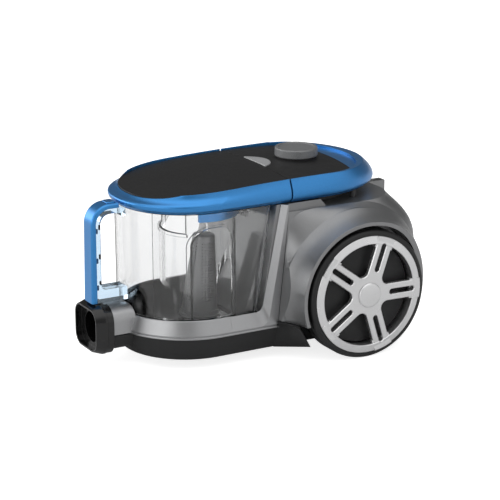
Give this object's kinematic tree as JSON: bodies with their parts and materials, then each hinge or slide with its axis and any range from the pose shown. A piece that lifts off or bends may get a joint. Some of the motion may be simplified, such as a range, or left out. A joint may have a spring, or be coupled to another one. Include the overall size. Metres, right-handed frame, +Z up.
{
  "type": "canister vacuum cleaner",
  "caption": "Canister vacuum cleaner: clear lift-out dust cup with a handle, rounded blue-ringed lid, suction dial, hose socket, large spoked side wheels and a front caster.",
  "frame": {"origin": "on the floor, under the centre of the machine's outline", "axes": "-X to the front, where the hose socket is; +X to the rear, where the air leaves; +Z up; the machine's left side is towards -Y"},
  "size_m": [0.403, 0.273, 0.2252],
  "materials": {
    "base_charcoal": "fine satin, charcoal",
    "band_silver": "satin silver",
    "body_grey": "satin metallic grey",
    "ring_blue": "satin metallic blue",
    "panel_black": "matte black",
    "port_black": "gloss black",
    "tray_black": "gloss black",
    "clear_cup": "clear, polished",
    "clear_handle": "clear, slightly blue",
    "clip_dark": "matte dark",
    "dial_grey": "fine-grained satin grey",
    "button_grey": "satin light grey",
    "cone_grey": "satin grey",
    "tyre_rubber": "satin black rubber",
    "rim_silver": "bright silver",
    "disc_dark": "matte dark",
    "axle_steel": "turned",
    "screw_steel": "zinc plated",
    "spring_steel": "drawn wire",
    "caster_black": "matte black",
    "roller_rubber": "matte rubber",
    "seal_rubber": "matte soft rubber",
    "mount_rubber": "matte rubber",
    "plenum_grey": "matte grey",
    "filter_foam": "open foam",
    "filter_pleat": "white pleated sheet",
    "grille_dark": "satin dark grey",
    "motor_steel": "plain zinc",
    "stator_iron": "laminated",
    "rotor_steel": "machined",
    "reel_grey": "matte grey",
    "board_green": "green laminate",
    "pot_black": "matte black",
    "deck_dark": "matte dark grey"
  },
  "bodies": {
    "chassis": {"base_pan": "base_charcoal", "base_screws": "screw_steel", "cradle_frame": "band_silver", "tray_liner": "tray_black", "hose_port": "port_black", "port_collar": "port_black", "inlet_seal": "seal_rubber", "rear_housing": "body_grey", "rear_ring": "ring_blue", "rear_panel": "panel_black", "top_deck": "deck_dark", "control_board": "board_green", "dial_potentiometer": "pot_black", "left_axle": "axle_steel", "right_axle": "axle_steel", "inlet_gasket": "seal_rubber", "suction_plenum": "plenum_grey", "premotor_filter": "filter_foam", "motor_front_mount": "mount_rubber", "fan_cover": "motor_steel", "motor_can": "motor_steel", "motor_stator": "stator_iron", "motor_rear_mount": "mount_rubber", "reel_spindle": "axle_steel", "rewind_spring_case": "reel_grey", "cord_outlet": "port_black", "exhaust_filter": "filter_pleat", "parking_bracket": "body_grey", "rewind_spring": "spring_steel"},
    "cup": {"dust_cup": "clear_cup", "handle_frame": "clear_handle", "handle_grip": "ring_blue", "grip_clips": "clip_dark", "cyclone_tube": "clear_cup", "filter_base_ring": "cone_grey", "filter_cone": "cone_grey"},
    "lid": {"lid_ring": "ring_blue", "lid_panel": "panel_black", "lid_duct": "ring_blue", "lid_seal": "seal_rubber"},
    "release": {"release_button": "ring_blue"},
    "left_wheel": {"left_tyre": "tyre_rubber", "left_rim": "rim_silver", "left_wheel_disc": "disc_dark", "left_hub_cap": "rim_silver"},
    "right_wheel": {"right_tyre": "tyre_rubber", "right_rim": "rim_silver", "right_wheel_disc": "disc_dark", "right_hub_cap": "rim_silver"},
    "caster": {"caster_fork": "caster_black", "caster_axle": "axle_steel"},
    "caster_wheel": {"caster_roller": "roller_rubber"},
    "dial": {"suction_dial": "dial_grey"},
    "rewind": {"rewind_button": "button_grey"},
    "rotor": {"motor_rotor": "rotor_steel"},
    "reel": {"reel_drum": "reel_grey"},
    "grille": {"exhaust_grille": "grille_dark"}
  },
  "joints": [
    {"name": "left_wheel_spin", "type": "hinge", "parent": "chassis", "child": "left_wheel", "pos_m": [0.094, -0.116, 0.076], "axis": [0, 1, 0], "continuous": true},
    {"name": "right_wheel_spin", "type": "hinge", "parent": "chassis", "child": "right_wheel", "pos_m": [0.094, 0.116, 0.076], "axis": [0, 1, 0], "continuous": true},
    {"name": "caster_swivel", "type": "hinge", "parent": "chassis", "child": "caster", "pos_m": [-0.096, 0, 0.03], "axis": [0, 0, 1], "continuous": true},
    {"name": "caster_roll", "type": "hinge", "parent": "caster", "child": "caster_wheel", "pos_m": [-0.089, 0, 0.011], "axis": [0, 1, 0], "continuous": true},
    {"name": "dial_turn", "type": "hinge", "parent": "chassis", "child": "dial", "pos_m": [0.074, 0, 0.22], "axis": [0, 0, -1], "range_deg": [0, 270]},
    {"name": "rewind_press", "type": "slide", "parent": "chassis", "child": "rewind", "axis": [0, 0, -1], "range_m": [0, 0.003], "stiffness_N_per_m": 600, "springref_m": -0.002, "deforming": ["rewind_spring"]},
    {"name": "release_press", "type": "slide", "parent": "cup", "child": "release", "axis": [0, 0, -1], "range_m": [0, 0.0015], "stiffness_N_per_m": 800, "springref_m": -0.001},
    {"name": "cup_lift", "type": "slide", "parent": "chassis", "child": "cup", "axis": [0, 0, 1], "range_m": [0, 0.2]},
    {"name": "lid_lift", "type": "slide", "parent": "cup", "child": "lid", "axis": [0, 0, 1], "range_m": [0, 0.08]},
    {"name": "fan_spin", "type": "hinge", "parent": "chassis", "child": "rotor", "pos_m": [0.09, -0.018, 0.104], "axis": [1, 0, 0], "continuous": true},
    {"name": "reel_spin", "type": "hinge", "parent": "chassis", "child": "reel", "pos_m": [0.113, 0.052, 0.106], "axis": [0, 1, 0], "continuous": true},
    {"name": "grille_pull", "type": "slide", "parent": "chassis", "child": "grille", "axis": [1, 0, 0], "range_m": [0, 0.05]}
  ]
}
